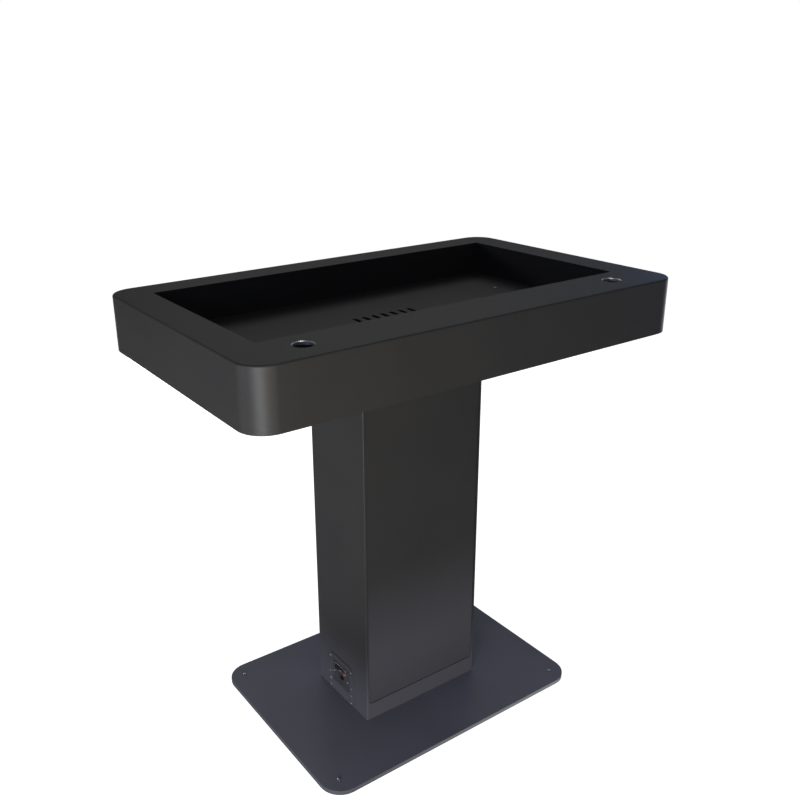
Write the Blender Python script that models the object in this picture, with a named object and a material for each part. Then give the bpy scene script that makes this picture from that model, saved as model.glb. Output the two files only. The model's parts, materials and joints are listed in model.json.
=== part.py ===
"""A podium stand for disc-jockey equipment: weighted base plate, sheet-metal column and a deep head with a
sunk well.

Metres, +Z up. The origin is on the floor, at the centre of the base. +X is to the right for somebody in the
audience, -Y points at the audience and +Y at the performer.
"""
import math

import bmesh
import bpy
from mathutils import Matrix, Vector

# Clearance left between pieces that rest on, or pass through, each other
gap = 0.0003

# Overall
total_height = 1.000

# Base plate and its feet
base_width = 0.700
base_depth = 0.506
base_thickness = 0.010
base_corner = 0.051
foot_height = 0.003
foot_radius = 0.017
foot_inset = 0.038
foot_screw_shank = 0.0025
foot_screw_head = 0.0042
foot_screw_head_height = 0.002
foot_screw_reach = 0.0018

# Column of bent sheet
column_width = 0.319
column_depth = 0.204
column_sheet = 0.002
column_bend = 0.0025
flange_bar = 0.030
flange_thickness = 0.004

# Access panel in the audience side of the column
panel_sheet = 0.0015
panel_recess = 0.0015
panel_border = 0.006
panel_bottom_border = 0.043
panel_top_border = 0.012
panel_corner = 0.009
panel_clearance = 0.0005
panel_rail_width = 0.0137
panel_rail_depth = 0.010
tab_width = 0.030
tab_spread = 0.160
tab_reach = 0.015
tab_sheet = 0.0016
magnet_size = (0.012, 0.009, 0.036)
magnet_drop = 0.030

# Head: deck and skirt in one shell, with a pan below
head_width = 1.030
head_depth = 0.636
head_height = 0.1185
head_corner = 0.053
head_sheet = 0.003
head_edge = 0.004
lip_width = 0.015
lip_thickness = 0.002
pan_sheet = 0.002
port_width = 0.200
port_depth = 0.100
port_corner = 0.020
port_trim = 0.0025

# Equipment well in the deck
deck_border_side = 0.076
deck_border_front = 0.120
deck_border_back = 0.075
well_sheet = 0.0015
well_flange = 0.012
well_skirt = 0.006
rail_end_clearance = 0.008
rail_width = 0.030
rail_height = 0.038
rail_wall = 0.0025
tray_sheet = 0.002
tray_clearance = 0.0015
tray_slot_width = 0.300
tray_slot_depth = 0.040
tray_slot_inset = 0.045
tray_slot_corner = 0.018
tray_vents = 7
tray_vent_length = 0.110
tray_vent_width = 0.010
tray_vent_pitch = 0.024
tray_vent_corner = 0.0045
slot_edging_drop = 0.0025
tray_screw_inset = 0.070
tray_screw_shank = 0.002
tray_screw_head = 0.004
tray_countersink = 0.0016
tray_screw_tail = 0.004

# Two sockets in the deck for round accessory tubes
socket_side_inset = 0.137
socket_front_inset = 0.065
socket_bore = 0.038
socket_wall = 0.0015
socket_floor = 0.003
socket_rim_height = 0.007
socket_flange_radius = 0.034
socket_flange_thickness = 0.0032

# Bolts that join the column to the base and to the head
bolt_radius = 0.004
bolt_head_radius = 0.0078
bolt_countersink = 0.0042
bolt_hex_radius = 0.0075
bolt_hex_height = 0.0053
bolt_tail = 0.0025
bolt_spread = 0.200
nut_height = 0.0065
nut_flange_radius = 0.0092
nut_flange_thickness = 0.0016

# Mains inlet low on the left side of the column
inlet_plate_width = 0.108
inlet_plate_height = 0.104
inlet_plate_lift = 0.0015
inlet_plate_corner = 0.018
inlet_plate_sheet = 0.0015
inlet_plate_offset = 0.006
inlet_screw_spread = 0.088
inlet_screw_rows = (0.008, 0.028, 0.048, 0.093)
inlet_screw_shank = 0.0015
inlet_screw_head = 0.0028
inlet_offset = 0.002
inlet_lift = 0.061
inlet_flange_width = 0.066
inlet_flange_height = 0.058
inlet_flange_thickness = 0.002
inlet_body_width = 0.048
inlet_body_height = 0.056
inlet_body_depth = 0.034
inlet_ear_spread = 0.058
rocker_slot_width = 0.040
rocker_slot_height = 0.012
rocker_slot_depth = 0.013
rocker_lift = 0.0205
rocker_tilt = 7.0
rocker_clearance = 0.0005
rocker_end_clearance = 0.0012
rocker_proud = 0.0036
rocker_thickness = 0.0055
rocker_pivot_depth = 0.001
socket_recess_width = 0.0245
socket_recess_height = 0.017
socket_recess_depth = 0.016
socket_recess_chamfer = 0.0045
inlet_pin_width = 0.004
inlet_pin_thickness = 0.002
inlet_pin_length = 0.011
inlet_pin_spread = 0.014
inlet_pin_stagger = 0.002
inlet_tag_length = 0.008
fuse_drop = 0.0195
fuse_width = 0.027
fuse_height = 0.008
fuse_depth = 0.015
fuse_face_proud = 0.0012
fuse_end_clearance = 0.001
fuse_cradle_start = 0.003
fuse_cradle_wall = 0.0015
fuse_notch_half = 0.004
fuse_notch_height = 0.0018
fuse_notch_depth = 0.0008
boot_depth = 0.020
boot_wall = 0.002
boot_side = 0.040

# Power strip inside the column, and the lead that feeds it
strip_width = 0.048
strip_depth = 0.030
strip_length = 0.300
strip_bottom = 0.420
strip_edge = 0.004
strip_outlets = 5
strip_outlet_pitch = 0.044
outlet_blade_spread = 0.0128
outlet_blade_width = 0.002
outlet_blade_lengths = (0.008, 0.007)
outlet_earth_width = 0.0038
outlet_earth_drop = (0.0135, 0.0090)
outlet_depth = 0.012
strip_first_outlet = 0.075
strip_ear_sheet = 0.003
strip_ear_reach = 0.018
strip_ear_width = 0.034
strip_ear_root = 0.010
strip_screw_inset = 0.008
strip_screw_shank = 0.0018
strip_screw_head = 0.0035
strip_screw_head_height = 0.002
strip_switch_width = 0.020
strip_switch_length = 0.026
strip_switch_height = 0.028
strip_switch_tilt = 8.0
strip_switch_proud = 0.003
strip_switch_thickness = 0.005
lead_radius = 0.004
lead_clip_heights = (0.220, 0.340)
lead_clip_wall = 0.0015
lead_clip_width = 0.012

# Levels and faces worked out from the sizes above
base_bottom = foot_height
base_top = base_bottom + base_thickness
head_bottom = total_height - head_height
deck_under = total_height - head_sheet
column_bottom = base_top + gap
column_top = head_bottom - gap
column_half_x = column_width / 2
column_half_y = column_depth / 2
inner_x = column_half_x - column_sheet
inner_y = column_half_y - column_sheet
foot_flange_top = column_bottom + flange_thickness
head_flange_bottom = column_top - flange_thickness
pan_top = head_bottom + pan_sheet
lip_bottom = pan_top + gap
rail_bottom = pan_top + gap
rail_top = rail_bottom + rail_height
tray_bottom = rail_top + gap
tray_top = tray_bottom + tray_sheet
bolt_line = inner_y - gap - flange_bar / 2
well_width = head_width - 2 * deck_border_side
well_front = head_depth / 2 - deck_border_front
well_back = head_depth / 2 - deck_border_back
rail_length = well_width - 2 * rail_end_clearance
tray_screw_x = rail_length / 2 - tray_screw_inset

collection = bpy.data.collections.new("dj_podium_stand")
cutters = bpy.data.collections.new("cutters")

# Colour, roughness and metallic value of each finish
finishes = {
    "black_coat": ((0.022, 0.022, 0.025), 0.50, 0.0),
    "base_coat": ((0.040, 0.041, 0.048), 0.34, 0.0),
    "bright_metal": ((0.78, 0.78, 0.78), 0.25, 1.0),
    "zinc": ((0.62, 0.63, 0.65), 0.35, 1.0),
    "rubber": ((0.015, 0.015, 0.015), 0.85, 0.0),
    "black_plastic": ((0.018, 0.018, 0.020), 0.30, 0.0),
    "red_plastic": ((0.55, 0.03, 0.02), 0.22, 0.0),
    "brass": ((0.80, 0.62, 0.30), 0.30, 1.0),
    "ferrite": ((0.10, 0.10, 0.11), 0.55, 0.0),
}


def clear_scene():
    for old in list(bpy.data.objects):
        bpy.data.objects.remove(old, do_unlink=True)
    for group in (collection, cutters):
        bpy.context.scene.collection.children.link(group)


def finish_material(name, finish):
    """Material of its own for one piece, from the table of finishes."""
    colour, roughness, metallic = finishes[finish]
    material = bpy.data.materials.new(name)
    material.use_nodes = True
    shader = material.node_tree.nodes["Principled BSDF"]
    shader.inputs["Base Color"].default_value = (*colour, 1.0)
    shader.inputs["Roughness"].default_value = roughness
    shader.inputs["Metallic"].default_value = metallic
    return material


def add_object(name, mesh_builder, finish=None, place=(0, 0, 0), parent=None):
    """Wrap a bmesh in an object whose origin is at place; without a finish it is a cutter."""
    mesh = bpy.data.meshes.new(name)
    bmesh.ops.translate(mesh_builder, verts=mesh_builder.verts, vec=-Vector(place))
    mesh_builder.to_mesh(mesh)
    mesh_builder.free()
    item = bpy.data.objects.new(name, mesh)
    item.location = place
    if finish is None:
        cutters.objects.link(item)
        item.hide_render = True
        item.display_type = "WIRE"
        return item
    collection.objects.link(item)
    mesh.materials.append(finish_material(name, finish))
    if parent is not None:
        item.parent = parent
        item.location = Vector(place) - parent.location
    return item


def add_box(builder, low, high, corner=0.0, along="Z", segments=6):
    """Add a box between two corners, with the four edges that run along one axis rounded."""
    low, high = Vector(low), Vector(high)
    made = bmesh.ops.create_cube(builder, size=1.0)["verts"]
    bmesh.ops.scale(builder, verts=made, vec=high - low)
    bmesh.ops.translate(builder, verts=made, vec=(low + high) / 2)
    if corner <= 0:
        return
    axis = "XYZ".index(along)
    edges = [edge for edge in {edge for vert in made for edge in vert.link_edges}
             if abs((edge.verts[0].co - edge.verts[1].co).normalized()[axis]) > 0.9]
    bmesh.ops.bevel(builder, geom=edges, offset=corner, affect="EDGES", segments=segments, profile=0.5)


def add_turned(builder, profile, centre, axis=(0, 0, 1), sides=24):
    """Add a turned solid; profile is a list of (radius, height along axis) that starts and ends on the axis,
    or a closed ring when no point lies on it."""
    turn = Vector((0, 0, 1)).rotation_difference(Vector(axis)).to_matrix().to_4x4()
    to_world = Matrix.Translation(Vector(centre)) @ turn
    verts = [builder.verts.new((radius, 0.0, height)) for radius, height in profile]
    edges = [builder.edges.new(pair) for pair in zip(verts, verts[1:])]
    if min(radius for radius, height in profile) > 0:
        edges.append(builder.edges.new((verts[-1], verts[0])))
    before = set(builder.faces)
    bmesh.ops.spin(builder, geom=verts + edges, cent=(0, 0, 0), axis=(0, 0, 1), angle=2 * math.pi,
                   steps=sides, use_merge=True, use_duplicate=False)
    faces = [face for face in builder.faces if face not in before]
    made = list({vert for face in faces for vert in face.verts})
    bmesh.ops.transform(builder, matrix=to_world, verts=made)
    bmesh.ops.remove_doubles(builder, verts=made, dist=0.00002)
    bmesh.ops.recalc_face_normals(builder, faces=[face for face in builder.faces if face not in before])


def rod(radius, bottom, top):
    return [(0, bottom), (radius, bottom), (radius, top), (0, top)]


def ring(inner, outer, bottom, top):
    return [(inner, bottom), (outer, bottom), (outer, top), (inner, top)]


def box(name, finish, low, high, corner=0.0, along="Z", segments=6, place=None, parent=None):
    builder = bmesh.new()
    add_box(builder, low, high, corner, along, segments)
    if place is None:
        place = (Vector(low) + Vector(high)) / 2
    return add_object(name, builder, finish, place, parent)


def turned_copies(name, finish, profile, centres, axis=(0, 0, 1), sides=24):
    """One object for each centre, numbered when there is more than one."""
    for number, centre in enumerate(centres, 1):
        builder = bmesh.new()
        add_turned(builder, profile, centre, axis, sides)
        add_object(f"{name}_{number}" if len(centres) > 1 else name, builder, finish, centre)


def turned_cutter(name, profile, centres, axis=(0, 0, 1), sides=24):
    builder = bmesh.new()
    for centre in centres:
        add_turned(builder, profile, centre, axis, sides)
    return add_object(name, builder)


def box_cutter(name, pairs, corner=0.0, along="Z", segments=4):
    builder = bmesh.new()
    for low, high in pairs:
        add_box(builder, low, high, corner, along, segments)
    return add_object(name, builder)


def combine(target, tool, operation="DIFFERENCE"):
    """Join or cut two objects with a live exact Boolean; the tool becomes a cutter."""
    modifier = target.modifiers.new(operation.lower(), "BOOLEAN")
    modifier.operation = operation
    modifier.solver = "EXACT"
    modifier.object = tool
    return target


def cut_box(target, name, low, high, corner=0.0, along="Z", segments=6):
    return combine(target, box(name, None, low, high, corner, along, segments))


def drill(target, name, radius, centres, low, high, axis=(0, 0, 1), sides=16):
    """Cut round holes; low and high are measured along the axis from each centre."""
    return combine(target, turned_cutter(name, rod(radius, low, high), centres, axis, sides))


def four_corners(x, y, z=0.0):
    return [(sx * x, sy * y, z) for sx in (-1, 1) for sy in (-1, 1)]


def bolt_places(z):
    return four_corners(bolt_spread / 2, bolt_line, z)


def button_screw(shank, head, length, head_height):
    """Button-head screw whose head sits above height 0 and whose shank runs down."""
    return [(0, -length), (shank, -length), (shank, 0), (head, 0), (head, head_height * 0.35),
            (head * 0.72, head_height * 0.85), (head * 0.35, head_height), (0, head_height)]


def make_base():
    half_x, half_y = base_width / 2, base_depth / 2
    feet = four_corners(half_x - foot_inset, half_y - foot_inset)
    plate = box("base_plate", "base_coat", (-half_x, -half_y, base_bottom), (half_x, half_y, base_top),
                base_corner, segments=10)
    drill(plate, "foot_screw_holes", foot_screw_shank + gap, feet, base_bottom - 0.01, base_top + 0.01)
    recess = bolt_countersink + gap
    countersink = [(0, -0.001), (bolt_head_radius + gap, -0.001), (bolt_head_radius + gap, gap),
                   (bolt_radius + gap, recess), (bolt_radius + gap, base_thickness + 0.001),
                   (0, base_thickness + 0.001)]
    combine(plate, turned_cutter("countersinks", countersink, bolt_places(base_bottom), sides=20))

    pad = ring(foot_screw_shank + gap, foot_radius, 0, foot_height - gap)
    turned_copies("rubber_foot", "rubber", pad, feet)
    length = base_thickness + foot_screw_reach
    screw = button_screw(foot_screw_shank, foot_screw_head, length, foot_screw_head_height)
    heads = [(x, y, base_top + gap) for x, y, z in feet]
    turned_copies("foot_screw", "bright_metal", screw, heads, sides=16)


def make_base_bolts():
    """Countersunk bolts up through the plate and the foot flange, under flanged nuts."""
    nut_bottom = foot_flange_top + gap
    tail = nut_bottom + nut_height + bolt_tail
    bolt = [(0, 0), (bolt_head_radius, 0), (bolt_radius, bolt_countersink), (bolt_radius, tail - base_bottom),
            (0, tail - base_bottom)]
    turned_copies("base_bolt", "zinc", bolt, bolt_places(base_bottom), sides=20)
    nut = [(bolt_radius + gap, 0), (nut_flange_radius, 0), (nut_flange_radius, nut_flange_thickness),
           (bolt_hex_radius, nut_flange_thickness), (bolt_hex_radius, nut_height),
           (bolt_radius + gap, nut_height)]
    turned_copies("base_nut", "zinc", nut, bolt_places(nut_bottom), sides=12)


def make_column():
    shell = box("column_shell", "black_coat", (-column_half_x, -column_half_y, column_bottom),
                (column_half_x, column_half_y, column_top), column_bend, segments=3)
    cut_box(shell, "column_bore", (-inner_x, -inner_y, column_bottom - 0.01),
            (inner_x, inner_y, column_top + 0.01))
    side = column_half_x - panel_border
    cut_box(shell, "panel_opening", (-side, -column_half_y - 0.01, column_bottom + panel_bottom_border),
            (side, -inner_y + 0.001, column_top - panel_top_border), panel_corner, "Y")
    low, high = inlet_body_box(gap)
    cut_box(shell, "inlet_hole", (-column_half_x - 0.01, low[1], low[2]), (-inner_x + 0.001, high[1], high[2]))
    drill(shell, "inlet_plate_threads", inlet_screw_shank + gap, inlet_screw_places(-column_half_x),
          -0.005, 0.010, (1, 0, 0), 12)
    strip_holes = [(0, inner_y, z) for z in strip_screw_levels()]
    drill(shell, "strip_screw_holes", strip_screw_shank + gap, strip_holes, -0.003, column_sheet - 0.0005,
          (0, 1, 0), 12)

    for name, bottom in (("foot_flange", column_bottom), ("head_flange", head_flange_bottom)):
        x, y = inner_x - gap, inner_y - gap
        top = bottom + flange_thickness
        flange = box(name, "black_coat", (-x, -y, bottom), (x, y, top))
        cut_box(flange, name + "_window", (-x + flange_bar, -y + flange_bar, bottom - 0.01),
                (x - flange_bar, y - flange_bar, top + 0.01), 0.010, segments=3)
        drill(flange, name + "_holes", bolt_radius + gap, bolt_places(bottom), -0.01, flange_thickness + 0.01)


def make_access_panel():
    """Recessed panel that stands on its tabs behind the lower lip and is held by magnets at its top."""
    side = column_half_x - panel_border - panel_clearance
    bottom = column_bottom + panel_bottom_border + panel_clearance
    top = column_top - panel_top_border - panel_clearance
    front = -column_half_y + panel_recess
    back = front + panel_sheet
    hinge = bpy.data.objects.new("access_panel_hinge", None)
    hinge.location = (0, front, bottom)
    collection.objects.link(hinge)
    panel = box("access_panel", "black_coat", (-side, front, bottom), (side, back, top),
                panel_corner - panel_clearance, "Y", place=hinge.location, parent=hinge)
    lip_face = -inner_y + gap
    tabs = []
    for x in (-tab_spread / 2, tab_spread / 2):
        tabs.append(((x - tab_width / 2, lip_face, bottom - tab_reach),
                     (x + tab_width / 2, lip_face + tab_sheet, bottom + tab_reach)))
    combine(panel, box_cutter("panel_tabs", tabs), "UNION")

    rail_front = back + gap
    for name, sign in (("panel_rail_left", -1), ("panel_rail_right", 1)):
        ends = sorted((sign * (inner_x - gap), sign * (inner_x - gap - panel_rail_width)))
        box(name, "black_coat", (ends[0], rail_front, bottom + tab_reach),
            (ends[1], rail_front + panel_rail_depth, top), 0.0)
    reach_x, reach_y, reach_z = magnet_size
    for name, sign in (("panel_magnet_left", -1), ("panel_magnet_right", 1)):
        edge = inner_x - 2 * gap - panel_rail_width
        ends = sorted((sign * edge, sign * (edge - reach_x)))
        box(name, "ferrite", (ends[0], rail_front, top - magnet_drop - reach_z),
            (ends[1], rail_front + reach_y, top - magnet_drop))


def make_head_shell():
    half_x, half_y = head_width / 2, head_depth / 2
    builder = bmesh.new()
    add_box(builder, (-half_x, -half_y, head_bottom), (half_x, half_y, total_height), head_corner, segments=10)
    rim = [edge for edge in builder.edges if min(vert.co.z for vert in edge.verts) > total_height - 0.001]
    bmesh.ops.bevel(builder, geom=rim, offset=head_edge, affect="EDGES", segments=3, profile=0.5)
    shell = add_object("head_shell", builder, "black_coat", (0, 0, head_bottom))

    def inset_cutter(name, inset, bottom, top):
        corner = head_corner - inset
        cut_box(shell, name, (-half_x + inset, -half_y + inset, bottom), (half_x - inset, half_y - inset, top),
                corner, segments=10)

    inset_cutter("pan_seat", head_sheet, head_bottom - 0.01, lip_bottom)
    inset_cutter("pan_mouth", head_sheet + lip_width, lip_bottom - 0.001, lip_bottom + lip_thickness + 0.001)
    inset_cutter("head_cavity", head_sheet, lip_bottom + lip_thickness, deck_under)
    cut_box(shell, "well_opening", (-well_width / 2, -well_front, deck_under - 0.01),
            (well_width / 2, well_back, total_height + 0.01))
    drill(shell, "socket_holes", socket_bore / 2 + socket_wall + gap, socket_places(0),
          deck_under - 0.005, total_height + 0.01, sides=32)


def make_head_pan():
    inset = head_sheet + gap
    half_x, half_y = head_width / 2 - inset, head_depth / 2 - inset
    pan = box("head_pan", "black_coat", (-half_x, -half_y, head_bottom), (half_x, half_y, pan_top),
              head_corner - inset, segments=10)
    cut_box(pan, "cable_port", (-port_width / 2, -port_depth / 2, head_bottom - 0.01),
            (port_width / 2, port_depth / 2, pan_top + 0.01), port_corner)
    drill(pan, "pan_bolt_holes", bolt_radius + gap, bolt_places(head_bottom), -0.01, pan_sheet + 0.01)

    # Edge trim: a groove ring that clips over the edge of the port
    low_x, low_y = port_width / 2 - gap, port_depth / 2 - gap
    trim = box("port_trim", "rubber", (-low_x, -low_y, head_bottom + gap), (low_x, low_y, pan_top + port_trim),
               port_corner - gap)
    cut_box(trim, "port_trim_bore", (-low_x + port_trim, -low_y + port_trim, head_bottom - 0.01),
            (low_x - port_trim, low_y - port_trim, pan_top + 0.01), port_corner - gap - port_trim)


def make_head_rails():
    """Two box-section rails that stand on the pan and carry the tray."""
    holes = bolt_places(rail_bottom)
    for name, sign in (("head_rail_front", -1), ("head_rail_back", 1)):
        y = sign * bolt_line
        rail = box(name, "black_coat", (-rail_length / 2, y - rail_width / 2, rail_bottom),
                   (rail_length / 2, y + rail_width / 2, rail_top), 0.0)
        bore = rail_width / 2 - rail_wall
        cut_box(rail, name + "_bore", (-rail_length / 2 - 0.01, y - bore, rail_bottom + rail_wall),
                (rail_length / 2 + 0.01, y + bore, rail_top - rail_wall))
        own = [place for place in holes if place[1] * sign > 0]
        drill(rail, name + "_holes", bolt_radius + gap, own, -0.01, rail_wall + 0.004)
        threads = [(x, y, rail_top) for x in (-tray_screw_x, tray_screw_x)]
        drill(rail, name + "_threads", tray_screw_shank + gap, threads, -rail_wall - 0.004, 0.01, sides=12)

    head_top = head_flange_bottom - gap
    tail = rail_bottom + rail_wall + bolt_tail - head_top
    bolt = [(0, -bolt_hex_height), (bolt_hex_radius, -bolt_hex_height), (bolt_hex_radius, 0),
            (bolt_radius, 0), (bolt_radius, tail), (0, tail)]
    turned_copies("head_bolt", "zinc", bolt, bolt_places(head_top), sides=12)


def make_well():
    """Liner that hangs from the deck round the opening, and the tray that the equipment stands on."""
    half_x = well_width / 2
    top = deck_under - gap
    bottom = tray_bottom - well_skirt
    flange = box("well_liner", "black_coat",
                 (-half_x - well_flange, -well_front - well_flange, top - well_sheet),
                 (half_x + well_flange, well_back + well_flange, top))
    walls = box("well_walls", None, (-half_x - well_sheet, -well_front - well_sheet, bottom),
                (half_x + well_sheet, well_back + well_sheet, top - well_sheet / 2))
    combine(flange, walls, "UNION")
    cut_box(flange, "well_bore", (-half_x, -well_front, bottom - 0.01), (half_x, well_back, top + 0.01))

    edge = tray_clearance
    tray = box("equipment_tray", "black_coat", (-half_x + edge, -well_front + edge, tray_bottom),
               (half_x - edge, well_back - edge, tray_top))
    low_y = -well_front + tray_slot_inset - tray_slot_depth / 2
    slot_low = Vector((-tray_slot_width / 2, low_y, 0))
    slot_high = Vector((tray_slot_width / 2, low_y + tray_slot_depth, 0))

    def slot_box(inset, bottom, top):
        """Corners of the oblong lead slot near the audience-side edge, drawn in by an inset."""
        inward = Vector((inset, inset, 0))
        return slot_low + inward + Vector((0, 0, bottom)), slot_high - inward + Vector((0, 0, top))

    cut_box(tray, "tray_slot", *slot_box(0, tray_bottom - 0.01, tray_top + 0.01), tray_slot_corner)
    vents = []
    for i in range(tray_vents):
        x = (i - (tray_vents - 1) / 2) * tray_vent_pitch
        vents.append(((x - tray_vent_width / 2, -tray_vent_length / 2, tray_bottom - 0.01),
                      (x + tray_vent_width / 2, tray_vent_length / 2, tray_top + 0.01)))
    combine(tray, box_cutter("tray_vents", vents, tray_vent_corner, segments=3))

    # Flush countersunk screws, so that the equipment stands on the tray alone
    places = four_corners(tray_screw_x, bolt_line, tray_top)
    wide, narrow = tray_screw_head + gap, tray_screw_shank + gap
    countersink = [(0, 0.001), (wide, 0.001), (wide, -gap), (narrow, -tray_countersink - gap),
                   (narrow, -tray_sheet - 0.001), (0, -tray_sheet - 0.001)]
    combine(tray, turned_cutter("tray_countersinks", countersink[::-1], places, sides=16))
    length = tray_sheet + rail_wall + tray_screw_tail
    screw = [(0, -length), (tray_screw_shank, -length), (tray_screw_shank, -tray_countersink),
             (tray_screw_head, -gap), (0, -gap)]
    turned_copies("tray_screw", "bright_metal", screw, places, sides=16)

    # Rubber edging inside the slot, flush with the tray and proud of it below
    low, high = slot_box(gap, tray_bottom - slot_edging_drop, tray_top - gap)
    trim = box("slot_trim", "rubber", low, high, tray_slot_corner - gap)
    cut_box(trim, "slot_trim_bore", *slot_box(gap + port_trim, tray_bottom - 0.01, tray_top + 0.01),
            tray_slot_corner - gap - port_trim)


def socket_places(z):
    x, y = head_width / 2 - socket_side_inset, head_depth / 2 - socket_front_inset
    return [(-x, -y, z), (x, -y, z)]


def make_sockets():
    """Flanged bright bushes with a chamfered mouth, let into the deck from below over cups on the pan."""
    bore = socket_bore / 2
    outer = bore + socket_wall
    flange_top = deck_under - gap - total_height
    rim_bottom = -socket_rim_height
    rim = [(bore, rim_bottom), (socket_flange_radius, rim_bottom), (socket_flange_radius, flange_top),
           (outer, flange_top), (outer, 0), (bore, -socket_wall)]
    tube_top = rim_bottom - gap
    tube_bottom = pan_top + gap - total_height
    floor_top = tube_bottom + socket_floor
    tube = [(0, tube_bottom), (outer, tube_bottom), (outer, tube_top - socket_flange_thickness),
            (socket_flange_radius, tube_top - socket_flange_thickness), (socket_flange_radius, tube_top),
            (bore, tube_top), (bore, floor_top), (0, floor_top)]
    for side, place in zip(("left", "right"), socket_places(total_height)):
        turned_copies("socket_rim_" + side, "bright_metal", rim, [place], sides=32)
        turned_copies("socket_tube_" + side, "black_coat", tube, [place], sides=24)


def inlet_middle():
    return Vector((-column_half_x, inlet_offset, base_top + inlet_lift))


def inlet_body_box(clearance=0.0):
    middle = inlet_middle()
    front = middle.x - gap - inlet_plate_sheet - gap
    y, z = inlet_body_width / 2 + clearance, inlet_body_height / 2 + clearance
    return ((front, middle.y - y, middle.z - z), (front + inlet_body_depth, middle.y + y, middle.z + z))


def inlet_screw_places(x):
    return [(x, inlet_plate_offset + side * inlet_screw_spread / 2, base_top + row)
            for row in inlet_screw_rows for side in (-1, 1)]


def make_inlet_plate():
    middle_y = inlet_plate_offset
    low_z = base_top + inlet_plate_lift
    back = -column_half_x - gap
    front = back - inlet_plate_sheet
    plate = box("inlet_plate", "black_coat", (front, middle_y - inlet_plate_width / 2, low_z),
                (back, middle_y + inlet_plate_width / 2, low_z + inlet_plate_height), inlet_plate_corner, "X")
    low, high = inlet_body_box(gap)
    cut_box(plate, "inlet_plate_window", (front - 0.01, low[1], low[2]), (back + 0.01, high[1], high[2]))
    holes = inlet_screw_places(back)
    drill(plate, "inlet_plate_holes", inlet_screw_shank + gap, holes, -0.01, 0.01, (1, 0, 0), 12)
    ears = inlet_ear_places(back)
    drill(plate, "inlet_ear_holes", inlet_screw_shank + gap, ears, -0.01, 0.01, (1, 0, 0), 12)
    return front


def inlet_ear_places(x):
    middle = inlet_middle()
    return [(x, middle.y + side * inlet_ear_spread / 2, middle.z) for side in (-1, 1)]


def make_inlet():
    """Mains inlet: a housing with a rocker switch on top, the socket below it and a fuse drawer under that."""
    plate_front = make_inlet_plate()
    middle = inlet_middle()
    low, high = inlet_body_box()
    flange_back = plate_front - gap
    face = flange_back - inlet_flange_thickness
    y, z = inlet_flange_width / 2, inlet_flange_height / 2
    housing = box("power_inlet", "black_plastic", (face, middle.y - y, middle.z - z),
                  (flange_back, middle.y + y, middle.z + z), 0.004, "X", 3)
    core = box("inlet_core", None, (face + inlet_flange_thickness / 2, low[1], low[2]), high)
    combine(housing, core, "UNION")

    rocker_z = middle.z + rocker_lift
    half = (rocker_slot_width / 2, rocker_slot_height / 2)
    cut_box(housing, "rocker_slot", (face - 0.01, middle.y - half[0], rocker_z - half[1]),
            (face + rocker_slot_depth, middle.y + half[0], rocker_z + half[1]))
    y, z = socket_recess_width / 2, socket_recess_height / 2
    cut_box(housing, "socket_recess", (face - 0.01, middle.y - y, middle.z - z),
            (face + socket_recess_depth, middle.y + y, middle.z + z), socket_recess_chamfer, "X", 1)
    fuse_z = middle.z - fuse_drop
    cut_box(housing, "fuse_slot", (face - 0.01, middle.y - fuse_width / 2, fuse_z - fuse_height / 2),
            (face + fuse_depth, middle.y + fuse_width / 2, fuse_z + fuse_height / 2))
    drill(housing, "ear_holes", inlet_screw_shank + gap, inlet_ear_places(face), -0.01, 0.01, (1, 0, 0), 12)

    pins, pin_cuts = [], []
    spread, stagger = inlet_pin_spread / 2, inlet_pin_stagger
    for dy, dz in ((-spread, -stagger), (0, stagger), (spread, -stagger)):
        thin, tall = inlet_pin_thickness / 2, inlet_pin_width / 2
        start = face + socket_recess_depth - inlet_pin_length
        pin_low = Vector((start, middle.y + dy - thin, middle.z + dz - tall))
        pin_high = Vector((high[0] + inlet_tag_length, middle.y + dy + thin, middle.z + dz + tall))
        pins.append((pin_low, pin_high))
        grow = Vector((0.01, gap, gap))
        pin_cuts.append((pin_low - Vector((0, gap, gap)), pin_high + grow))
    combine(housing, box_cutter("pin_holes", pin_cuts))
    for name, (pin_low, pin_high) in zip(("inlet_pin_line", "inlet_pin_earth", "inlet_pin_neutral"), pins):
        box(name, "brass", pin_low, pin_high)
    make_rocker(middle.y, rocker_z, face)
    make_fuse_drawer(middle.y, fuse_z, face)
    make_boot(middle, high[0] + gap)


def rocker_outline(length, proud, thickness):
    """Section of a rocker: a shallow valley outside and a narrower back, inside its ends' circle."""
    back = length * 0.90
    return [(-length, proud), (0, proud * 0.35), (length, proud), (back, -thickness), (-back, -thickness)]


def add_rocker(name, length, half_width, proud, thickness, to_world, place):
    builder = bmesh.new()
    verts = [builder.verts.new((u, -half_width, v)) for u, v in rocker_outline(length, proud, thickness)]
    face = builder.faces.new(verts)
    grown = bmesh.ops.extrude_face_region(builder, geom=[face])["geom"]
    bmesh.ops.translate(builder, verts=[item for item in grown if isinstance(item, bmesh.types.BMVert)],
                        vec=(0, 2 * half_width, 0))
    bmesh.ops.recalc_face_normals(builder, faces=builder.faces)
    bmesh.ops.transform(builder, matrix=to_world, verts=builder.verts)
    return add_object(name, builder, "red_plastic", place)


def make_rocker(y, z, face):
    """Lies along Y, so its axis is vertical; it rests with its audience-side end pressed in."""
    pivot = Vector((face + rocker_pivot_depth, y, z))
    half_length = rocker_slot_width / 2 - rocker_end_clearance
    half_width = rocker_slot_height / 2 - rocker_clearance
    outward = Matrix(((0, 0, -1, 0), (1, 0, 0, 0), (0, -1, 0, 0), (0, 0, 0, 1)))
    tilt = Matrix.Rotation(math.radians(rocker_tilt), 4, "Z")
    add_rocker("rocker_switch", half_length, half_width, rocker_proud, rocker_thickness,
               Matrix.Translation(pivot) @ tilt @ outward, pivot)


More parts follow.
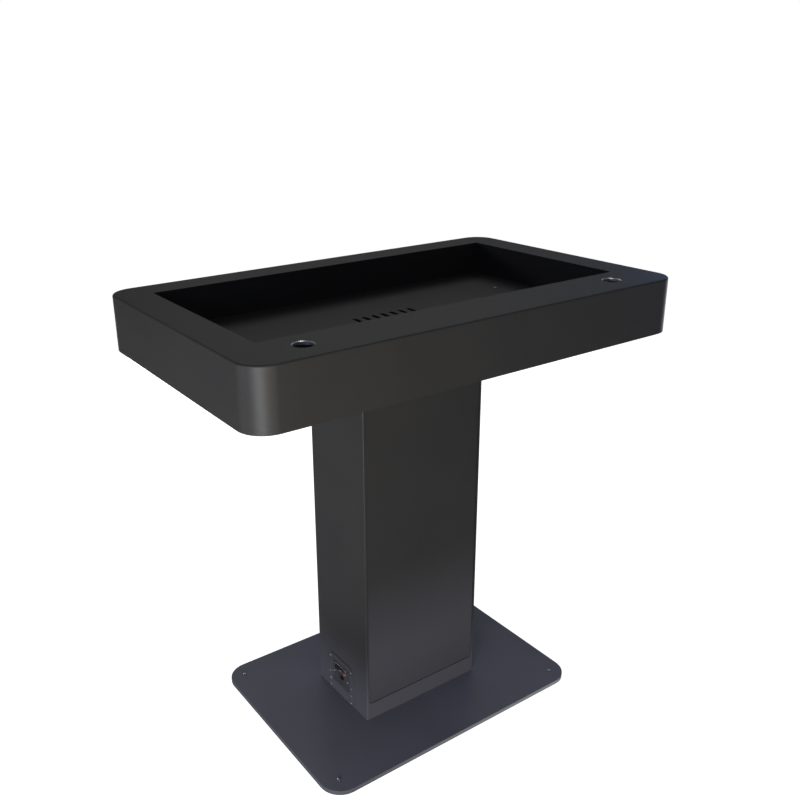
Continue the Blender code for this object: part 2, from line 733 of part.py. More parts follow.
def make_fuse_drawer(y, z, face):
    side = fuse_width / 2 - rocker_clearance
    tall = fuse_height / 2 - rocker_clearance
    end = face + fuse_depth - fuse_end_clearance
    wall = fuse_cradle_wall
    drawer = box("fuse_drawer", "black_plastic", (face - fuse_face_proud, y - side, z - tall),
                 (end, y + side, z + tall))
    cut_box(drawer, "fuse_cradle", (face + fuse_cradle_start, y - side + wall, z - tall + wall),
            (end - wall, y + side - wall, z + tall + 0.01))
    cut_box(drawer, "drawer_notch", (face - 0.005, y - fuse_notch_half, z - tall - 0.001),
            (face + fuse_notch_depth, y + fuse_notch_half, z - tall + fuse_notch_height))


def make_boot(middle, start):
    """Insulating cover over the tags at the back of the inlet."""
    half = boot_side / 2
    boot = box("inlet_boot", "rubber", (start, middle.y - half, middle.z - half),
               (start + boot_depth, middle.y + half, middle.z + half), 0.003, "X", 2)
    inner = half - boot_wall
    cut_box(boot, "boot_cavity", (start - 0.01, middle.y - inner, middle.z - inner),
            (start + boot_depth - boot_wall, middle.y + inner, middle.z + inner))


def strip_screw_levels():
    reach = strip_ear_reach - strip_screw_inset
    return strip_bottom - reach, strip_bottom + strip_length + reach


def make_power_strip():
    """Strip of flush outlets, screwed to the inside of the column's far wall, facing the access panel."""
    back = inner_y - gap
    front = back - strip_depth
    top = strip_bottom + strip_length
    half = strip_width / 2
    ear, root = strip_ear_width / 2, strip_ear_root
    strip = box("power_strip", "black_plastic", (-half, front, strip_bottom), (half, back, top),
                strip_edge, "Z", 2)
    ears = [((-ear, back - strip_ear_sheet, strip_bottom - strip_ear_reach), (ear, back, strip_bottom + root)),
            ((-ear, back - strip_ear_sheet, top - root), (ear, back, top + strip_ear_reach))]
    combine(strip, box_cutter("strip_ears", ears), "UNION")

    holes = []
    blade, earth = outlet_blade_width / 2, outlet_earth_width / 2
    far, near = outlet_earth_drop
    end = front + outlet_depth
    for i in range(strip_outlets):
        z = strip_bottom + strip_first_outlet + i * strip_outlet_pitch
        for side, tall in zip((-1, 1), outlet_blade_lengths):
            x = side * outlet_blade_spread / 2
            holes.append(((x - blade, front - 0.01, z - tall / 2), (x + blade, end, z + tall / 2)))
        holes.append(((-earth, front - 0.01, z - far), (earth, end, z - near)))
    combine(strip, box_cutter("outlet_slots", holes))
    places = [(0, back - strip_ear_sheet - gap, z) for z in strip_screw_levels()]
    drill(strip, "strip_ear_holes", strip_screw_shank + gap, places, -0.01, 0.01, (0, 1, 0), 12)
    length = strip_ear_sheet + column_sheet
    screw = button_screw(strip_screw_shank, strip_screw_head, length, strip_screw_head_height)
    turned_copies("strip_screw", "zinc", screw, places, (0, -1, 0), 12)

    switch_z = strip_bottom + strip_switch_height
    half_width, half_length = strip_switch_width / 2, strip_switch_length / 2
    cut_box(strip, "strip_switch_slot", (-half_width, front - 0.01, switch_z - half_length),
            (half_width, end, switch_z + half_length))
    pivot = Vector((0, front + rocker_pivot_depth, switch_z))
    outward = Matrix(((0, -1, 0, 0), (0, 0, -1, 0), (1, 0, 0, 0), (0, 0, 0, 1)))
    tilt = Matrix.Rotation(math.radians(strip_switch_tilt), 4, "X")
    add_rocker("strip_switch", half_length - rocker_end_clearance, half_width - rocker_clearance,
               strip_switch_proud, strip_switch_thickness, Matrix.Translation(pivot) @ tilt @ outward, pivot)


def lead_route():
    """From the boot behind the inlet, across to the far wall and up to the underside of the strip."""
    middle = inlet_middle()
    start_x = inlet_body_box()[1][0] + gap + boot_depth + gap
    wall_y = inner_y - lead_clip_wall - lead_radius - 3 * gap
    end_y = inner_y - gap - strip_depth / 2
    end_z = strip_bottom - gap
    return [(start_x, middle.y, middle.z), (start_x + 0.016, middle.y, middle.z),
            (start_x + 0.046, middle.y + 0.030, middle.z + 0.008),
            (start_x + 0.070, wall_y - 0.012, middle.z + 0.045),
            (-0.012, wall_y, lead_clip_heights[0] - 0.050), (0.0, wall_y, lead_clip_heights[0] - 0.012),
            (0.0, wall_y, lead_clip_heights[0] + 0.012), (0.0, wall_y, lead_clip_heights[1] - 0.012),
            (0.0, wall_y, lead_clip_heights[1] + 0.012), (0.0, end_y + 0.002, end_z - 0.036),
            (0.0, end_y, end_z - 0.016), (0.0, end_y, end_z)]


def smooth_points(points, spacing):
    """Points along a Catmull-Rom curve through the route's points, about one spacing apart."""
    places = [Vector(point) for point in points]
    padded = [2 * places[0] - places[1]] + places + [2 * places[-1] - places[-2]]
    result = [places[0]]
    for before, start, end, after in zip(padded, padded[1:], padded[2:], padded[3:]):
        steps = max(1, round((end - start).length / spacing))
        for i in range(1, steps + 1):
            t = i / steps
            result.append(0.5 * (2 * start + (end - before) * t
                                 + (2 * before - 5 * start + 4 * end - after) * t ** 2
                                 + (3 * start - before - 3 * end + after) * t ** 3))
    return result


def make_lead():
    curve = bpy.data.curves.new("inlet_lead", "CURVE")
    curve.dimensions = "3D"
    curve.bevel_depth = lead_radius
    curve.bevel_resolution = 2
    curve.use_fill_caps = True
    points = smooth_points(lead_route(), lead_radius * 4)
    spline = curve.splines.new("POLY")
    spline.points.add(len(points) - 1)
    for target, point in zip(spline.points, points):
        target.co = (*point, 1.0)
    lead = bpy.data.objects.new("inlet_lead", curve)
    collection.objects.link(lead)
    curve.materials.append(finish_material("inlet_lead", "rubber"))

    wall = inner_y - gap
    centre_y = inner_y - lead_clip_wall - lead_radius - 3 * gap
    side = lead_radius + gap + lead_clip_wall
    for name, z in zip(("lead_clip_lower", "lead_clip_upper"), lead_clip_heights):
        low_z, high_z = z - lead_clip_width / 2, z + lead_clip_width / 2
        clip = box(name, "black_plastic", (-side, centre_y - side, low_z), (side, wall, high_z))
        drill(clip, name + "_bore", lead_radius + gap, [(0, centre_y, low_z)], -0.01, lead_clip_width + 0.01,
              sides=12)


def main():
    clear_scene()
    make_base()
    make_base_bolts()
    make_column()
    make_access_panel()
    make_head_shell()
    make_head_pan()
    make_head_rails()
    make_well()
    make_sockets()
    make_inlet()
    make_power_strip()
    make_lead()


main()
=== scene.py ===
import json
import math

import bmesh
import bpy
from mathutils import Matrix, Vector


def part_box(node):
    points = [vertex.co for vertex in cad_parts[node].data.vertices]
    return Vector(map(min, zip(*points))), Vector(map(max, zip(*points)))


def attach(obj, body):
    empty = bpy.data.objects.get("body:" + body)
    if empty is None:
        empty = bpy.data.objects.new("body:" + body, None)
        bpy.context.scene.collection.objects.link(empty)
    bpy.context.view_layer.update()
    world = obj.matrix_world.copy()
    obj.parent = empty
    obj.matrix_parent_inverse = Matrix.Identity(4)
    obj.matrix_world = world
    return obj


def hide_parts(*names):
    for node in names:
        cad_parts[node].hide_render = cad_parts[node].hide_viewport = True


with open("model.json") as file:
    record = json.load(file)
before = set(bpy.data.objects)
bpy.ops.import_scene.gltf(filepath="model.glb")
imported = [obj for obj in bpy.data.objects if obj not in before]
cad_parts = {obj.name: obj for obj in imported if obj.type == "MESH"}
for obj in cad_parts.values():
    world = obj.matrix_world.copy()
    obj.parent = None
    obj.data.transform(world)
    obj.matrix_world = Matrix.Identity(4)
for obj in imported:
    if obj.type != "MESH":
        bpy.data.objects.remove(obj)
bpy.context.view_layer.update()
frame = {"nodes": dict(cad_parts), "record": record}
scene = bpy.context.scene
print("loaded", len(frame["nodes"]), "nodes")

# Sockets of a Mix node: A, B and result, for colours and for numbers
colourA, colourB, colourMixed = 6, 7, 2
numberA, numberB, numberMixed = 2, 3, 0
noiseLow, noiseHigh = 0.3, 0.7  # nearly all of a noise texture lies between these


def srgb(colour):
    # "#rrggbb" as the linear numbers that a shader wants
    channels = [int(colour[i:i + 2], 16) / 255 for i in (1, 3, 5)]
    linear = [c / 12.92 if c <= 0.04045 else ((c + 0.055) / 1.055) ** 2.4 for c in channels]
    return (*linear, 1.0)


def addNode(tree, kind, inputs=None, **settings):
    # inputs: a plain value is set, a socket is linked
    node = tree.nodes.new(kind)
    for key, value in settings.items():
        setattr(node, key, value)
    for key, value in (inputs or {}).items():
        if isinstance(value, bpy.types.NodeSocket):
            tree.links.new(value, node.inputs[key])
        else:
            node.inputs[key].default_value = value
    return node


def newMaterial(name, **fixed):
    # fixed: values of the shader's own sockets, with underscores for spaces
    material = bpy.data.materials.new(name)
    material.use_nodes = True
    tree = material.node_tree
    shader = tree.nodes["Principled BSDF"]
    for key, value in fixed.items():
        shader.inputs[key.replace("_", " ")].default_value = value
    place = addNode(tree, "ShaderNodeTexCoord").outputs["Object"]
    return material, tree, shader, place


def linkShader(tree, shader, colour, rough, bumps):
    tree.links.new(colour.outputs[colourMixed], shader.inputs["Base Color"])
    tree.links.new(rough.outputs["Result"], shader.inputs["Roughness"])
    tree.links.new(bumps.outputs["Normal"], shader.inputs["Normal"])


# Fine-textured polyester powder coat on sheet steel: a soft black sheen, broken by tiny bumps.
# The real grain is about 0.3 mm and is drawn at 1.1 mm, so that it shows.
# On the column and its panel, a painted reflection of the pale floor makes the coat lighter and bluer towards
# the floor, between two heights in metres
coatLooks = {
    "headCoat": {"dark": "#1c1c1e", "light": "#242425", "rough": (0.46, 0.56)},
    "columnCoat": {"dark": "#1d1d1f", "light": "#252526", "rough": (0.42, 0.52),
                   "dust": "#42434c", "dustFrom": 0.22, "dustTo": 0.02},
    "panelCoat": {"dark": "#1d1d1f", "light": "#252526", "rough": (0.42, 0.52),
                  "dust": "#393a42", "dustFrom": 0.42, "dustTo": 0.12},
    "innerCoat": {"dark": "#19191b", "light": "#212124", "rough": (0.45, 0.55)},
}
coatGrain = {"specular": 0.30, "grainMm": 1.1, "waveMm": 9.0, "cloudMm": 160.0,
             "bump": 0.16, "bumpMm": 0.3, "waveBump": 0.04, "waveBumpMm": 0.5}


def powderCoat(name):
    look = {**coatGrain, **coatLooks[name]}
    material, tree, shader, place = newMaterial(name, Specular_IOR_Level=look["specular"])
    grain = addNode(tree, "ShaderNodeTexNoise", {
        "Vector": place, "Scale": 1000 / look["grainMm"], "Detail": 2.0})
    wave = addNode(tree, "ShaderNodeTexNoise", {
        "Vector": place, "Scale": 1000 / look["waveMm"], "Detail": 1.0})
    cloud = addNode(tree, "ShaderNodeTexNoise", {
        "Vector": place, "Scale": 1000 / look["cloudMm"], "Detail": 3.0})
    colour = addNode(tree, "ShaderNodeMix", {
        "Factor": cloud.outputs["Fac"], colourA: srgb(look["dark"]), colourB: srgb(look["light"])},
        data_type="RGBA")
    # painted reflection of the pale floor: the coat turns lighter and bluer towards the floor
    if "dust" in look:
        height = addNode(tree, "ShaderNodeSeparateXYZ", {"Vector": place}).outputs["Z"]
        dust = addNode(tree, "ShaderNodeMapRange", {
            "Value": height, "From Min": look["dustFrom"], "From Max": look["dustTo"]},
            interpolation_type="SMOOTHSTEP")
        colour = addNode(tree, "ShaderNodeMix", {
            "Factor": dust.outputs["Result"],
            colourA: colour.outputs[colourMixed], colourB: srgb(look["dust"])},
            data_type="RGBA")
    rough = addNode(tree, "ShaderNodeMapRange", {
        "Value": grain.outputs["Fac"], "From Min": noiseLow, "From Max": noiseHigh,
        "To Min": look["rough"][0], "To Max": look["rough"][1]})
    waves = addNode(tree, "ShaderNodeBump", {
        "Height": wave.outputs["Fac"], "Strength": look["waveBump"], "Distance": look["waveBumpMm"] / 1000})
    bumps = addNode(tree, "ShaderNodeBump", {
        "Height": grain.outputs["Fac"], "Strength": look["bump"], "Distance": look["bumpMm"] / 1000,
        "Normal": waves.outputs["Normal"]})
    linkShader(tree, shader, colour, rough, bumps)
    return material


# Semi-gloss powder coat on the thick base plate: smoother, with orange peel, so that it mirrors the
# column faintly. The cut edge has painted light: darker than the top at the left, much lighter towards the
# right
baseLook = {
    "dark": "#53535e", "light": "#5d5e6a", "side": "#474a50", "sideFar": "#7f8489",
    "rough": (0.28, 0.36), "specular": 0.17, "cloudMm": 220.0,
    "peelMm": 6.0, "peelBump": 0.03, "peelBumpMm": 0.4,
    "sideTop": 0.0124, "sideBlendMm": 0.6, "farX": 0.32,  # height and half width in metres
}


def baseCoat():
    look = baseLook
    material, tree, shader, place = newMaterial("baseCoat", Specular_IOR_Level=look["specular"])
    peel = addNode(tree, "ShaderNodeTexNoise", {
        "Vector": place, "Scale": 1000 / look["peelMm"], "Detail": 1.0})
    cloud = addNode(tree, "ShaderNodeTexNoise", {
        "Vector": place, "Scale": 1000 / look["cloudMm"], "Detail": 3.0})
    top = addNode(tree, "ShaderNodeMix", {
        "Factor": cloud.outputs["Fac"], colourA: srgb(look["dark"]), colourB: srgb(look["light"])},
        data_type="RGBA")
    axes = addNode(tree, "ShaderNodeSeparateXYZ", {"Vector": place})
    # painted light: the cut edge turns from dark at the left to light at the right
    paintedLightAlong = addNode(tree, "ShaderNodeMapRange", {
        "Value": axes.outputs["X"], "From Min": -look["farX"], "From Max": look["farX"]})
    side = addNode(tree, "ShaderNodeMix", {
        "Factor": paintedLightAlong.outputs["Result"], colourA: srgb(look["side"]), colourB: srgb(look["sideFar"])},
        data_type="RGBA")
    low = addNode(tree, "ShaderNodeMapRange", {
        "Value": axes.outputs["Z"], "From Min": look["sideTop"],
        "From Max": look["sideTop"] - look["sideBlendMm"] / 1000})
    colour = addNode(tree, "ShaderNodeMix", {
        "Factor": low.outputs["Result"],
        colourA: top.outputs[colourMixed], colourB: side.outputs[colourMixed]},
        data_type="RGBA")
    rough = addNode(tree, "ShaderNodeMapRange", {
        "Value": cloud.outputs["Fac"], "From Min": noiseLow, "From Max": noiseHigh,
        "To Min": look["rough"][0], "To Max": look["rough"][1]})
    bumps = addNode(tree, "ShaderNodeBump", {
        "Height": peel.outputs["Fac"], "Strength": look["peelBump"], "Distance": look["peelBumpMm"] / 1000})
    linkShader(tree, shader, colour, rough, bumps)
    return material


# Turned stainless steel, zinc plate, bright screw steel and tinned brass: fine marks in the finish
# blur the glints. The real marks are 0.1 mm or finer and are drawn at 0.8 to 2.5 mm, so that they show
metalLooks = {
    "turnedSteel": {"dark": "#c3c6ca", "light": "#dcdee0", "rough": (0.34, 0.46), "grainMm": 0.8},
    "zincPlate": {"dark": "#7d8289", "light": "#9ea3a9", "rough": (0.30, 0.45), "grainMm": 2.5},
    "brightScrew": {"dark": "#c2c5c9", "light": "#e2e4e7", "rough": (0.30, 0.40), "grainMm": 1.2},
    "tinnedBrass": {"dark": "#a8915e", "light": "#c9b68a", "rough": (0.29, 0.40), "grainMm": 1.5},
}
metalMarks = {"detail": 3.0, "bump": 0.05, "bumpMm": 0.1}

# Moulded polyamide, rubber and ferrite: an even colour with a faint moulded texture.
# The real texture is about 0.2 mm and is drawn at 0.7 to 1.4 mm, so that it shows
mouldedLooks = {
    "blackPolyamide": {"dark": "#161617", "light": "#1f1f21", "rough": (0.30, 0.42),
                       "grainMm": 0.7, "bump": 0.06},
    "inletPlastic": {"dark": "#303036", "light": "#3b3b42", "rough": (0.20, 0.26),
                     "grainMm": 0.7, "bump": 0.03},
    "blackRubber": {"dark": "#141414", "light": "#1e1e1d", "rough": (0.70, 0.85),
                    "grainMm": 0.9, "bump": 0.15},
    "greyFerrite": {"dark": "#3c3d3f", "light": "#4d4e50", "rough": (0.50, 0.65),
                    "grainMm": 1.4, "bump": 0.12},
}
mouldedGrain = {"detail": 2.0, "bumpMm": 0.2}


def fineGrained(name, look, **fixed):
    # one fine grain drives the colour, the gloss and the relief
    material, tree, shader, place = newMaterial(name, **fixed)
    grain = addNode(tree, "ShaderNodeTexNoise", {
        "Vector": place, "Scale": 1000 / look["grainMm"], "Detail": look["detail"]})
    colour = addNode(tree, "ShaderNodeMix", {
        "Factor": grain.outputs["Fac"], colourA: srgb(look["dark"]), colourB: srgb(look["light"])},
        data_type="RGBA")
    rough = addNode(tree, "ShaderNodeMapRange", {
        "Value": grain.outputs["Fac"], "From Min": noiseLow, "From Max": noiseHigh,
        "To Min": look["rough"][0], "To Max": look["rough"][1]})
    bumps = addNode(tree, "ShaderNodeBump", {
        "Height": grain.outputs["Fac"], "Strength": look["bump"], "Distance": look["bumpMm"] / 1000})
    linkShader(tree, shader, colour, rough, bumps)
    return material


# Two-shot moulded polycarbonate of the rockers: black, with a glossy red end that shows when the switch
# is on. Its real polish is finer than 0.1 mm and is drawn at 1.2 mm, so that it shows
rockerLook = {
    "black": "#191919", "red": "#64201c", "blendMm": 0.4,
    "rough": (0.19, 0.25), "grainMm": 1.2, "bump": 0.03, "bumpMm": 0.1,
    # where the red end starts: axis, metres, direction
    "redEnds": {"inletRocker": ("Y", -0.011, -1), "stripRocker": ("Z", 0.452, 1)},
}


def rockerPlastic(name):
    look = rockerLook
    axis, start, sign = look["redEnds"][name]
    material, tree, shader, place = newMaterial(name)
    value = addNode(tree, "ShaderNodeSeparateXYZ", {"Vector": place}).outputs[axis]
    red = addNode(tree, "ShaderNodeMapRange", {
        "Value": value, "From Min": start, "From Max": start + sign * look["blendMm"] / 1000})
    colour = addNode(tree, "ShaderNodeMix", {
        "Factor": red.outputs["Result"], colourA: srgb(look["black"]), colourB: srgb(look["red"])},
        data_type="RGBA")
    grain = addNode(tree, "ShaderNodeTexNoise", {
        "Vector": place, "Scale": 1000 / look["grainMm"], "Detail": 2.0})
    rough = addNode(tree, "ShaderNodeMapRange", {
        "Value": grain.outputs["Fac"], "To Min": look["rough"][0], "To Max": look["rough"][1]})
    bumps = addNode(tree, "ShaderNodeBump", {
        "Height": grain.outputs["Fac"], "Strength": look["bump"], "Distance": look["bumpMm"] / 1000})
    linkShader(tree, shader, colour, rough, bumps)
    return material


finishes = {name: powderCoat(name) for name in coatLooks}
finishes["baseCoat"] = baseCoat()
for name, look in metalLooks.items():
    finishes[name] = fineGrained(name, {**metalMarks, **look}, Metallic=1.0)
for name, look in mouldedLooks.items():
    finishes[name] = fineGrained(name, {**mouldedGrain, **look})
for name in rockerLook["redEnds"]:
    finishes[name] = rockerPlastic(name)
print("made", len(finishes), "materials")


def finishPiece(name, build, finish, body="root", sharpDegrees=40, bevelMm=0.0):
    # a bmesh as a smooth-shaded piece that rides on a body
    sharpAngle = math.radians(sharpDegrees)
    for face in build.faces:
        face.smooth = True
    for edge in build.edges:
        edge.smooth = len(edge.link_faces) == 2 and edge.calc_face_angle(0.0) < sharpAngle
    mesh = bpy.data.meshes.new(name)
    build.to_mesh(mesh)
    build.free()
    mesh.materials.append(finishes[finish])
    piece = bpy.data.objects.new(name, mesh)
    scene.collection.objects.link(piece)
    if bevelMm:
        bevel = piece.modifiers.new("softEdge", "BEVEL")
        bevel.width = bevelMm / 1000
        bevel.segments = 2
        bevel.limit_method = "ANGLE"
        bevel.angle_limit = sharpAngle
    weighted = piece.modifiers.new("flatFaces", "WEIGHTED_NORMAL")
    weighted.keep_sharp = not bevelMm
    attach(piece, body)
    return piece


bodyOf = {node: body for body, nodes in frame["record"]["behaviour"]["bodies"].items() for node in nodes}
slotOf = {part["node"]: part["material_slot"] for part in frame["record"]["subparts"]}
mergeLook = {"mergeMm": 0.01, "flatDegrees": 0.5}  # points closer and faces flatter than this become one


def dressNode(node, finish, bevelMm):
    # a merged copy of a node's mesh, with its curved faces shaded smooth
    build = bmesh.new()
    build.from_mesh(frame["nodes"][node].data)
    bmesh.ops.remove_doubles(build, verts=build.verts, dist=mergeLook["mergeMm"] / 1000)
    bmesh.ops.dissolve_limit(build, angle_limit=math.radians(mergeLook["flatDegrees"]),
                             verts=build.verts, edges=build.edges)
    words = node.split("_")
    name = words[0] + "".join(word.capitalize() for word in words[1:])
    piece = finishPiece(name, build, finish, bodyOf[node], bevelMm=bevelMm)
    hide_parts(node)


# What each node is finished with, by its slot or by its own name
slotFinishes = {
    "black_coat": "innerCoat", "base_coat": "baseCoat", "bright_metal": "brightScrew", "zinc": "zincPlate",
    "rubber": "blackRubber", "black_plastic": "blackPolyamide", "red_plastic": "stripRocker",
    "brass": "tinnedBrass", "ferrite": "greyFerrite",
}
nodeFinishes = {
    "head_shell": "headCoat", "head_pan": "headCoat", "column_shell": "columnCoat",
    "inlet_plate": "columnCoat", "access_panel": "panelCoat",
    "socket_rim_left": "turnedSteel", "socket_rim_right": "turnedSteel",
    "power_inlet": "inletPlastic", "fuse_drawer": "inletPlastic", "rocker_switch": "inletRocker",
    "foot_screw_1": "zincPlate", "foot_screw_2": "zincPlate",
    "foot_screw_3": "zincPlate", "foot_screw_4": "zincPlate",
}
# Width of the softened edges in mm
edgeRadii = {
    "head_shell": 0.8, "access_panel": 0.6, "column_shell": 0.5, "base_plate": 0.8, "inlet_plate": 0.4,
    "power_inlet": 0.7, "fuse_drawer": 0.5, "rocker_switch": 0.6,
}
for node in list(frame["nodes"]):
    dressNode(node, nodeFinishes.get(node, slotFinishes[slotOf[node]]), edgeRadii.get(node, 0.0))
print("dressed", len(frame["nodes"]), "nodes")


# Screws whose heads show: in the inlet plate, in the inlet's ears and in the pan's edge
screwLook = {
    "dome": ((2.7, 0.0), (2.7, 0.5), (2.45, 1.1), (1.9, 1.5)),  # radius and height of the head's rings in mm
    "socketMm": 1.3, "depthMm": 0.9, "shankMm": 1.4, "lengthMm": 5.0, "roundSides": 24, "socketSides": 6,
    "turnDegrees": 37,  # each head stopped at its own angle when it was tightened
    "sharpDegrees": 50, "finish": "zincPlate",
}
# How far in from the edges of what they hold, and their rows up from its lower edge or out from the middle
screwPlaces = {
    "plateInsetMm": 10.0, "plateRowsMm": (6.5, 26.5, 46.5, 91.5), "earInsetMm": 4.0,
    "panInsetMm": 7.2, "panSideRowsMm": (-160.0, 160.0), "panLongRowsMm": (-400.0, -135.0, 135.0, 400.0),
}
outwards = Matrix.Rotation(math.radians(-90), 4, "Y")
downwards = Matrix.Rotation(math.radians(180), 4, "X")


def addRing(build, sides, radiusMm, heightMm, turn):
    place = turn @ Matrix.Translation((0, 0, heightMm / 1000))
    ring = bmesh.ops.create_circle(build, segments=sides, radius=radiusMm / 1000, matrix=place)["verts"]
    return list({edge for vert in ring for edge in vert.link_edges})


def addScrew(build, turn):
    look = screwLook
    top = look["dome"][-1][1]
    outline = [(look["shankMm"], -look["lengthMm"]), (look["shankMm"], 0.0), *look["dome"]]
    rings = [addRing(build, look["roundSides"], radius, height, turn) for radius, height in outline]
    rings += [addRing(build, look["socketSides"], look["socketMm"], height, turn)
              for height in (top, top - look["depthMm"])]
    for ring, following in zip(rings, rings[1:]):
        bmesh.ops.bridge_loops(build, edges=ring + following)
    bmesh.ops.edgeloop_fill(build, edges=rings[0])
    bmesh.ops.edgeloop_fill(build, edges=rings[-1])


def makeScrews(name, places, turn):
    build = bmesh.new()
    for i, place in enumerate(places):
        own = Matrix.Rotation(math.radians(screwLook["turnDegrees"] * i), 4, "Z")
        addScrew(build, Matrix.Translation(place) @ turn @ own)
    bmesh.ops.recalc_face_normals(build, faces=build.faces)
    finishPiece(name, build, screwLook["finish"], sharpDegrees=screwLook["sharpDegrees"])


def insetBox(node, insetMm):
    low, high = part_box(node)
    inset = Vector((1, 1, 1)) * insetMm / 1000
    return low, low + inset, high - inset


def screwInletPlate():
    outer, low, high = insetBox("inlet_plate", screwPlaces["plateInsetMm"])
    rows = [outer.z + row / 1000 for row in screwPlaces["plateRowsMm"]]
    makeScrews("inletPlateScrews", [(outer.x, y, z) for y in (low.y, high.y) for z in rows], outwards)


def screwInletEars():
    outer, low, high = insetBox("power_inlet", screwPlaces["earInsetMm"])
    makeScrews("inletEarScrews", [(outer.x, y, (low.z + high.z) / 2) for y in (low.y, high.y)], outwards)


def screwPan():
    outer, low, high = insetBox("head_pan", screwPlaces["panInsetMm"])
    places = [(x / 1000, y, outer.z) for y in (low.y, high.y) for x in screwPlaces["panLongRowsMm"]]
    places += [(x, y / 1000, outer.z) for x in (low.x, high.x) for y in screwPlaces["panSideRowsMm"]]
    makeScrews("panScrews", places, downwards)


screwInletPlate()
screwInletEars()
screwPan()
print("made the screws")


# Bright pressed frame on the inlet's face, round the rocker's slot
frameLook = {"slotMm": (40.0, 12.0), "belowTopMm": 8.5, "wideMm": 1.4, "proudMm": 0.8, "edgeMm": 0.3,
             "sharpDegrees": 60}


def makeRockerFrame():
    look = frameLook
    wide = look["wideMm"] / 1000
    low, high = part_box("power_inlet")
    middle = Matrix.Translation((low.x, (low.y + high.y) / 2, high.z - look["belowTopMm"] / 1000))
    long, tall = (side / 1000 + 2 * wide for side in look["slotMm"])
    size = Matrix.Diagonal((tall, long, 1, 1))
    build = bmesh.new()
    bmesh.ops.create_grid(build, x_segments=1, y_segments=1, size=0.5, matrix=middle @ outwards @ size)
    whole = list(build.faces)
    bmesh.ops.inset_region(build, faces=whole, thickness=wide, use_boundary=True, use_even_offset=True)
    bmesh.ops.delete(build, geom=whole, context="FACES")
    bmesh.ops.solidify(build, geom=list(build.faces), thickness=-look["proudMm"] / 1000)
    bmesh.ops.recalc_face_normals(build, faces=build.faces)
    sharpAngle = math.radians(look["sharpDegrees"])
    corners = [edge for edge in build.edges if edge.calc_face_angle(0.0) > sharpAngle]
    bmesh.ops.bevel(build, geom=corners, offset=look["edgeMm"] / 1000, affect="EDGES",
                    segments=2, profile=0.5, material=-1)
    finishPiece("rockerFrame", build, "brightScrew", sharpDegrees=look["sharpDegrees"])


makeRockerFrame()
print("made the rocker's frame")


# The floor's half width in metres, how bright it is to the camera, and the room in reflections and as light
stageLook = {"floor": 14.0, "floorColour": "#e6e6e6", "floorRough": 0.9,
             "seen": 0.922, "mirrored": 0.12, "roomLight": 0.10}
white = (1.0, 1.0, 1.0, 1.0)


def makeFloor():
    build = bmesh.new()
    bmesh.ops.create_grid(build, x_segments=1, y_segments=1, size=stageLook["floor"])
    mesh = bpy.data.meshes.new("floor")
    build.to_mesh(mesh)
    build.free()
    floor = bpy.data.objects.new("floor", mesh)
    scene.collection.objects.link(floor)
    material = bpy.data.materials.new("paleFloor")
    material.use_nodes = True
    tree = material.node_tree
    shader = tree.nodes["Principled BSDF"]
    shader.inputs["Base Color"].default_value = srgb(stageLook["floorColour"])
    shader.inputs["Roughness"].default_value = stageLook["floorRough"]
    shader.inputs["Specular IOR Level"].default_value = 0.0
    shader.inputs["Emission Color"].default_value = white
    rays = addNode(tree, "ShaderNodeLightPath")
    seen = addNode(tree, "ShaderNodeMath", {0: rays.outputs["Is Camera Ray"], 1: stageLook["seen"]},
                   operation="MULTIPLY")
    tree.links.new(seen.outputs["Value"], shader.inputs["Emission Strength"])
    mesh.materials.append(material)


def makeWorld():
    world = bpy.data.worlds.new("studio")
    scene.world = world
    world.use_nodes = True
    tree = world.node_tree
    rays = addNode(tree, "ShaderNodeLightPath")
    mirrored = addNode(tree, "ShaderNodeMath", {
        0: rays.outputs["Is Glossy Ray"], 1: rays.outputs["Is Transmission Ray"]}, operation="MAXIMUM")
    level = addNode(tree, "ShaderNodeMix", {
        "Factor": mirrored.outputs["Value"], numberA: stageLook["roomLight"], numberB: stageLook["mirrored"]})
    seen = addNode(tree, "ShaderNodeMix", {
        "Factor": rays.outputs["Is Camera Ray"], numberA: level.outputs[numberMixed], numberB: 1.0})
    background = tree.nodes["Background"]
    background.inputs["Color"].default_value = white
    tree.links.new(seen.outputs[numberMixed], background.inputs["Strength"])


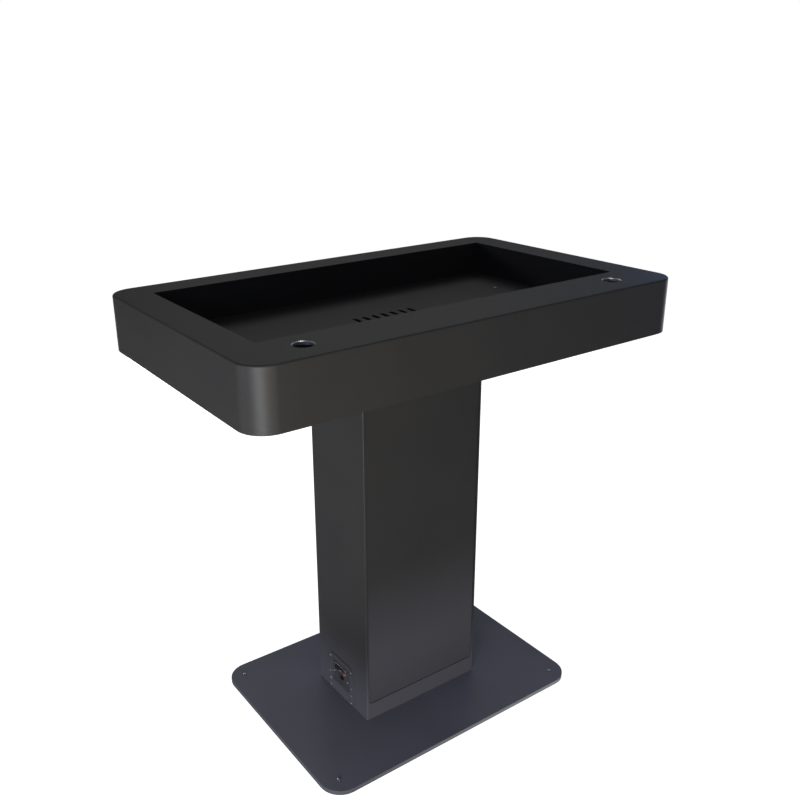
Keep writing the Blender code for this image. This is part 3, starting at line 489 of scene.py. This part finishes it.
# Turn from the audience side in degrees, distance, height and height aimed at in metres, size and watts
lamps = {
    "lowCorner": {"turn": -45, "far": 3.0, "high": 0.45, "aim": 0.6,
                  "size": (1.2, 0.8), "watts": 80, "colour": "#fffefc"},
    "lowLeft": {"turn": -100, "far": 3.0, "high": 0.45, "aim": 0.6,
                "size": (1.2, 0.8), "watts": 14, "colour": "#fcf6ec"},
    "lowFront": {"turn": -5, "far": 3.4, "high": 0.4, "aim": 0.5,
                 "size": (1.4, 0.8), "watts": 25, "colour": "#ffeec4"},
    "nearLeft": {"turn": -64, "far": 1.75, "high": 1.2, "aim": 0.95,
                 "size": (0.6, 0.8), "watts": 4, "colour": "#c4d0ff"},
    "backPanel": {"turn": 146, "far": 2.6, "high": 3.4, "aim": 0.0,
                  "size": (3.0, 1.5), "watts": 16, "colour": "#ffffff"},
    "topSpot": {"turn": -10, "far": 0.9, "high": 3.2, "aim": 0.6,
                "size": (0.6, 0.6), "watts": 6, "colour": "#ffffff"},
    "rightFill": {"turn": 105, "far": 3.2, "high": 1.6, "aim": 0.9,
                  "size": (1.2, 1.2), "watts": 8, "colour": "#84b0ff"},
    "endFill": {"turn": 64, "far": 3.4, "high": 0.5, "aim": 0.6,
                "size": (0.9, 0.9), "watts": 1.6, "colour": "#94acff"},
    "backFill": {"turn": 178, "far": 3.0, "high": 0.45, "aim": 0.6,
                 "size": (1.4, 0.8), "watts": 24, "colour": "#ffffff"},
    "sideFill": {"turn": 97, "far": 3.0, "high": 0.45, "aim": 0.6,
                 "size": (1.2, 0.8), "watts": 11, "colour": "#f2f5ff"},
    "backSpot": {"turn": -138, "far": 3.2, "high": 1.7, "aim": 0.2,
                 "size": (0.45, 0.45), "watts": 5, "colour": "#ffffff"},
}


def makeLamps():
    for name, lamp in lamps.items():
        data = bpy.data.lights.new(name, "AREA")
        data.shape = "RECTANGLE"
        data.size, data.size_y = lamp["size"]
        data.energy = lamp["watts"]
        data.color = srgb(lamp["colour"])[:3]
        light = bpy.data.objects.new(name, data)
        turn = math.radians(lamp["turn"])
        light.location = (math.sin(turn) * lamp["far"], -math.cos(turn) * lamp["far"], lamp["high"])
        light.rotation_mode = "QUATERNION"
        light.rotation_quaternion = (Vector((0, 0, lamp["aim"])) - light.location).to_track_quat("-Z", "Y")
        scene.collection.objects.link(light)


# Where the photograph was taken from. The shift puts its centre a little to the side, as its framing has it
cameraLook = {
    "place": (-1.08734, -1.46841, 1.42777), "azimuth": -34.31818, "elevation": 20.80057, "roll": -0.89674,
    "lens": 39.8151, "sensorMm": 36.0, "shift": (0.044584, 0.003292),
}


def makeCamera():
    look = cameraLook
    data = bpy.data.cameras.new("camera")
    data.lens = look["lens"]
    data.sensor_width = look["sensorMm"]
    data.shift_x, data.shift_y = look["shift"]
    camera = bpy.data.objects.new("camera", data)
    turn = (Matrix.Rotation(math.radians(look["azimuth"]), 4, "Z")
            @ Matrix.Rotation(math.radians(90 - look["elevation"]), 4, "X")
            @ Matrix.Rotation(math.radians(look["roll"]), 4, "Z"))
    camera.matrix_world = Matrix.Translation(look["place"]) @ turn
    scene.collection.objects.link(camera)
    scene.camera = camera


makeFloor()
makeWorld()
makeLamps()
makeCamera()
scene.view_settings.view_transform = "Standard"
print("set floor, lamps and camera")
